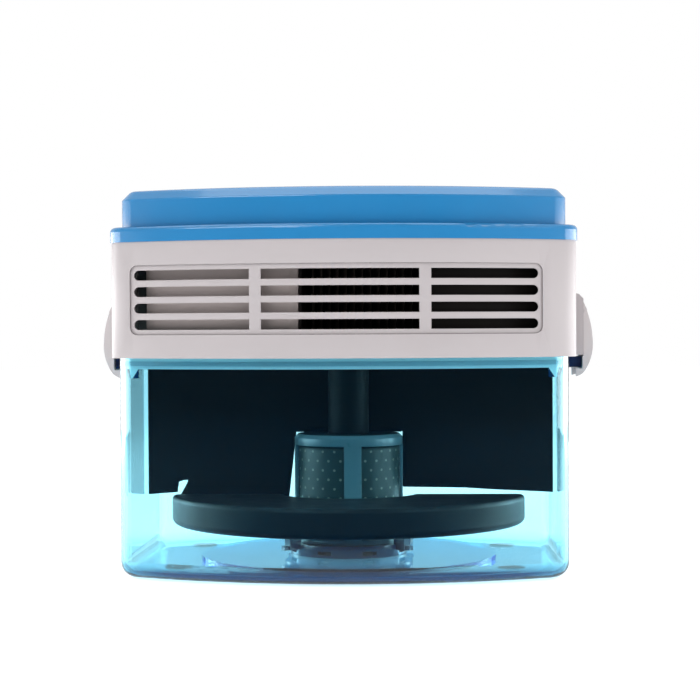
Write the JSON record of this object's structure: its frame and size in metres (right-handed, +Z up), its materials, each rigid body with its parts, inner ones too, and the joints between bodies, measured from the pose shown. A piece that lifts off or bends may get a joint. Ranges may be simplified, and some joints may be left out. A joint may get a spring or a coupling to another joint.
{
  "type": "dehumidifier",
  "caption": "Small box-shaped dehumidifier: grey head with a slotted grille and blue lid, clipped on a clear blue water tank with a filter cage, float and hanging curtain.",
  "frame": {"origin": "centre of the footprint on the surface it stands on, at the underside of its feet", "axes": "+Z up, the front with the long grille faces -Y, +X to the right seen from the front"},
  "size_m": [0.332, 0.2638, 0.251],
  "materials": {
    "tank_clear_blue": "gloss",
    "cage_base_navy": "gloss",
    "cage_teal": "satin",
    "dark_mesh": "satin",
    "carbon": "matte",
    "float_black": "gloss",
    "curtain_black": "satin",
    "housing_grey": "satin",
    "latch_grey": "satin",
    "lid_blue": "gloss",
    "inner_grey": "matte",
    "inner_black": "matte",
    "base_blue": "satin",
    "seal_rubber": "matte",
    "foot_rubber": "matte",
    "sink_black": "satin",
    "sink_silver": "satin",
    "chip_white": "matte",
    "foam_black": "matte",
    "foam_grey": "matte",
    "steel": "satin",
    "brass": "satin",
    "board_green": "satin",
    "magnet_nickel": "polished",
    "button_white": "gloss",
    "light_white": "gloss"
  },
  "bodies": {
    "tank": {"tank": "tank_clear_blue", "tank_feet": "foot_rubber", "cage_base": "cage_base_navy", "filter_cage": "cage_teal", "filter_mesh": "dark_mesh", "carbon_core": "carbon"},
    "head": {"housing": "housing_grey", "front_grille": "housing_grey", "head_base": "base_blue", "tank_seal": "seal_rubber", "lid": "lid_blue", "drain_pipe": "inner_black", "drip_tray": "inner_black", "cold_sink": "sink_silver", "cooling_chip": "chip_white", "insulation_frame": "foam_black", "hot_sink": "sink_black", "sink_screws": "steel", "air_duct": "inner_black", "fan_frame": "inner_black", "fan_motor": "steel", "fan_bush": "brass", "fan_screws": "steel", "electronics_cover": "inner_grey", "circuit_board": "board_green", "board_parts": "inner_black", "level_switch": "inner_black", "power_inlet": "inner_black", "curtain": "curtain_black", "curtain_clamp": "inner_black", "clamp_screws": "steel", "latch_pins": "steel", "lid_screws": "steel", "base_screws": "steel", "button_dome": "seal_rubber", "button_board": "board_green", "button_switch": "inner_black", "light_pipe": "light_white"},
    "float": {"float_collar": "float_black", "float_magnet": "magnet_nickel"},
    "fan": {"impeller": "inner_black", "fan_shaft": "steel"},
    "latch_left": {"latch_left": "latch_grey"},
    "latch_right": {"latch_right": "latch_grey"},
    "rear_cover": {"rear_cover": "housing_grey", "foam_filter": "foam_grey"},
    "power_button": {"power_button": "button_white"}
  },
  "joints": [
    {"name": "head_lift", "type": "slide", "parent": "tank", "child": "head", "axis": [0, 0, 1], "range_m": [0, 0.1]},
    {"name": "float_lift", "type": "slide", "parent": "tank", "child": "float", "axis": [0, 0, 1], "range_m": [0, 0.08]},
    {"name": "latch_left_swing", "type": "hinge", "parent": "head", "child": "latch_left", "pos_m": [-0.1572, 0, 0.1725], "axis": [0, 1, 0], "range_deg": [0, 65]},
    {"name": "latch_right_swing", "type": "hinge", "parent": "head", "child": "latch_right", "pos_m": [0.1572, 0, 0.1725], "axis": [0, -1, 0], "range_deg": [0, 65]},
    {"name": "fan_spin", "type": "hinge", "parent": "head", "child": "fan", "pos_m": [0.014, 0.069, 0.181], "axis": [0, 1, 0], "continuous": true},
    {"name": "rear_cover_pull", "type": "slide", "parent": "head", "child": "rear_cover", "axis": [0, 1, 0], "range_m": [0, 0.03]},
    {"name": "button_press", "type": "slide", "parent": "head", "child": "power_button", "axis": [0, 0, -1], "range_m": [0, 0.0015], "stiffness_N_per_m": 200, "springref_m": -0.001, "deforming": ["button_dome"]}
  ]
}
